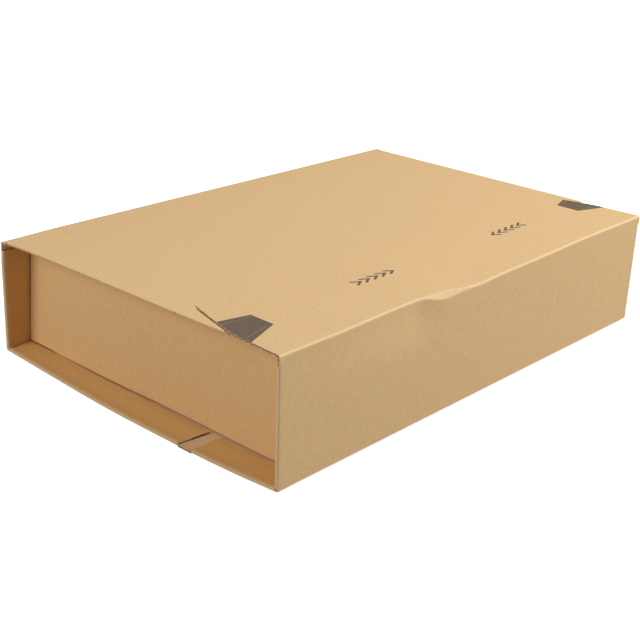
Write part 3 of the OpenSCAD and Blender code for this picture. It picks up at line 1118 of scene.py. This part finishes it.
def cut_board(name, dark, light):
    """The board's cut edges and its core: rough fibres, unevenly dark."""
    g = Graph(name)
    place = g.object_place()
    rough = g.noise(place, *FIBRE_ENDS)
    broad_part = g.noise(place, *DARK_PARTS)
    c = g.mix(g.ramp(rough, *FIBRE_ENDS_AT), dark, light)
    c = g.mix(g.calc("MULTIPLY", g.ramp(broad_part, *DARK_AT), DARK_SHARE), c, dark)
    g.put(g.shader.inputs["Base Color"], c)
    g.shader.inputs["Roughness"].default_value = 0.9
    g.shader.inputs["Specular IOR Level"].default_value = 0.2
    g.relief(rough, *CUT_RELIEF)
    return g.material


def sealing_strip():
    """The white sealing strip between the lap and the front panel."""
    g = Graph("seal_strip")
    rough = g.noise(g.object_place(), *STRIP_NOISE)
    g.put(g.shader.inputs["Base Color"], g.mix(g.ramp(rough, *STRIP_AT), *STRIP_COLOURS))
    g.put(g.shader.inputs["Roughness"], g.calc("MULTIPLY_ADD", rough, *STRIP_ROUGH))
    return g.material


# Kraft papers by their place: colour, light and dark blotches
OUTER_PAPER = (srgb(224, 189, 138), srgb(228, 195, 146), srgb(217, 181, 130))
INNER_PAPER = (srgb(232, 196, 156), srgb(236, 202, 163), srgb(224, 188, 148))
# The rims' folded layers: the same paper, painted deeper as shade and warm bounce light in the
# recess
RIM_PAPER_SHADED = (srgb(222, 176, 112), srgb(226, 181, 118), srgb(214, 167, 103))
# The end walls: the same paper, painted warmer and lighter as bounce light in the recess
WALL_PAPER_WARM_BOUNCE = (srgb(231, 188, 129), srgb(235, 194, 137), srgb(224, 180, 121))
# Dark and light of the cut edges, and of the core, which is painted dark as the shade in the
# flutes' hollows
EDGE_FIBRES = (srgb(168, 132, 96), srgb(236, 204, 160))
CORE_FIBRES_SHADED = (srgb(52, 28, 20), srgb(100, 66, 46))


def board():
    """The folded sheet as one mesh, in place of the CAD part."""
    sheet = Sheet()
    wrap_middle(sheet)
    lap(sheet)
    for sheet.mirror in (False, True):
        wrap_end(sheet)
        rims(sheet)
        end_wall(sheet)
    materials = {
        OUTER: kraft("kraft_outer", *OUTER_PAPER, printed=True),
        INNER: kraft("kraft_liner", *INNER_PAPER),
        RIM: kraft("kraft_rim_shaded", *RIM_PAPER_SHADED),
        WALL: kraft("kraft_wall_warm_bounce", *WALL_PAPER_WARM_BOUNCE),
        EDGE: cut_board("kraft_cut_edge", *EDGE_FIBRES),
        CORE: cut_board("kraft_core_shaded", *CORE_FIBRES_SHADED),
    }
    obj = as_object(sheet, "folded_board", [materials[kind] for kind in sorted(materials)])
    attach(obj, "root")
    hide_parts("folded_sheet")


# The photograph's view, solved from the box's corners: angles, place and focal length
CAMERA_ANGLES = (-48.3918, 22.0897, 2.4008)
CAMERA_PLACE = Vector((-0.5270, -0.4552, 0.2945))
CAMERA_LENS = 68.119
CAMERA_SENSOR = 36
CAMERA_NEAR = 0.01


def camera():
    """The camera at the photograph's view, from its azimuth, elevation and roll."""
    azimuth, elevation, roll = (math.radians(a) for a in CAMERA_ANGLES)
    back = Vector((math.sin(azimuth) * math.cos(elevation),
                   -math.cos(azimuth) * math.cos(elevation), math.sin(elevation)))
    right = Vector((math.cos(azimuth), math.sin(azimuth), 0))
    up = back.cross(right)
    r = math.cos(roll) * right + math.sin(roll) * up
    u = -math.sin(roll) * right + math.cos(roll) * up
    data = bpy.data.cameras.new("camera")
    data.lens = CAMERA_LENS
    data.sensor_width = CAMERA_SENSOR
    data.clip_start = CAMERA_NEAR
    obj = bpy.data.objects.new("camera", data)
    obj.matrix_world = Matrix((
        (r.x, u.x, back.x, CAMERA_PLACE.x),
        (r.y, u.y, back.y, CAMERA_PLACE.y),
        (r.z, u.z, back.z, CAMERA_PLACE.z),
        (0, 0, 0, 1)))
    bpy.context.scene.collection.objects.link(obj)
    bpy.context.scene.camera = obj


def area_light(name, place, target, size, power):
    data = bpy.data.lights.new(name, "AREA")
    data.shape = "DISK"
    data.size = size
    data.energy = power
    obj = bpy.data.objects.new(name, data)
    obj.location = place
    obj.rotation_euler = (Vector(target) - Vector(place)).to_track_quat("-Z", "Y").to_euler()
    bpy.context.scene.collection.objects.link(obj)


def seen_directly(tree):
    """1 for rays from the camera and for those that a reflection or clear matter passes on."""
    rays = tree.nodes.new("ShaderNodeLightPath").outputs
    total = rays["Is Camera Ray"]
    for name in ("Is Glossy Ray", "Is Transmission Ray"):
        node = tree.nodes.new("ShaderNodeMath")
        node.operation = "MAXIMUM"
        tree.links.new(total, node.inputs[0])
        tree.links.new(rays[name], node.inputs[1])
        total = node.outputs[0]
    return total


# The floor: its side in metres, its grey for other light, and its white and glow when seen
FLOOR_SIDE = 12
FLOOR_GREY = 0.35
FLOOR_WHITE = 0.8
FLOOR_GLOW = 0.82
# Strength of the surroundings' light on the object
WORLD_LIGHT = 0.17
# Each lamp's name, place, target, size and power
LAMPS = [
    ("key", (0.7, -0.9, 1.2), (0, 0, 0), 0.8, 24.0),
    ("fill_left", (-1.25, 0.36, 0.55), (0, 0, 0.04), 0.9, 7.6),
]


def floor_white():
    """White where it is looked at, with the box's shadow kept; a grey floor for other light."""
    g = Graph("floor_white")
    tree = g.tree
    grey = g.node("BsdfDiffuse", (FLOOR_GREY, FLOOR_GREY, FLOOR_GREY, 1))
    white = g.node("BsdfDiffuse", (FLOOR_WHITE, FLOOR_WHITE, FLOOR_WHITE, 1))
    glow = g.node("Emission", (1, 1, 1, 1), FLOOR_GLOW)
    both = g.node("AddShader", white.outputs[0], glow.outputs[0])
    mixed = g.node("MixShader", seen_directly(tree), grey.outputs[0], both.outputs[0])
    tree.links.new(mixed.outputs[0], tree.nodes["Material Output"].inputs["Surface"])
    tree.nodes.remove(g.shader)
    return g.material


def studio():
    """Pale floor, white surroundings and soft lamps."""
    bpy.ops.mesh.primitive_plane_add(size=FLOOR_SIDE, location=(0, 0, 0))
    floor = bpy.context.object
    floor.name = "floor"
    floor.data.materials.append(floor_white())
    world = bpy.data.worlds.new("world")
    bpy.context.scene.world = world
    world.use_nodes = True
    background = world.node_tree.nodes["Background"]
    background.inputs["Color"].default_value = (1, 1, 1, 1)
    level = world.node_tree.nodes.new("ShaderNodeMapRange")
    level.inputs["To Min"].default_value = WORLD_LIGHT
    level.inputs["To Max"].default_value = 1.0
    world.node_tree.links.new(seen_directly(world.node_tree), level.inputs["Value"])
    world.node_tree.links.new(level.outputs[0], background.inputs["Strength"])
    for lamp in LAMPS:
        area_light(*lamp)


camera()
studio()
board()
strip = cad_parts["seal_strip"]
strip.data.materials.clear()
strip.data.materials.append(sealing_strip())

bpy.context.scene.view_settings.view_transform = "Standard"
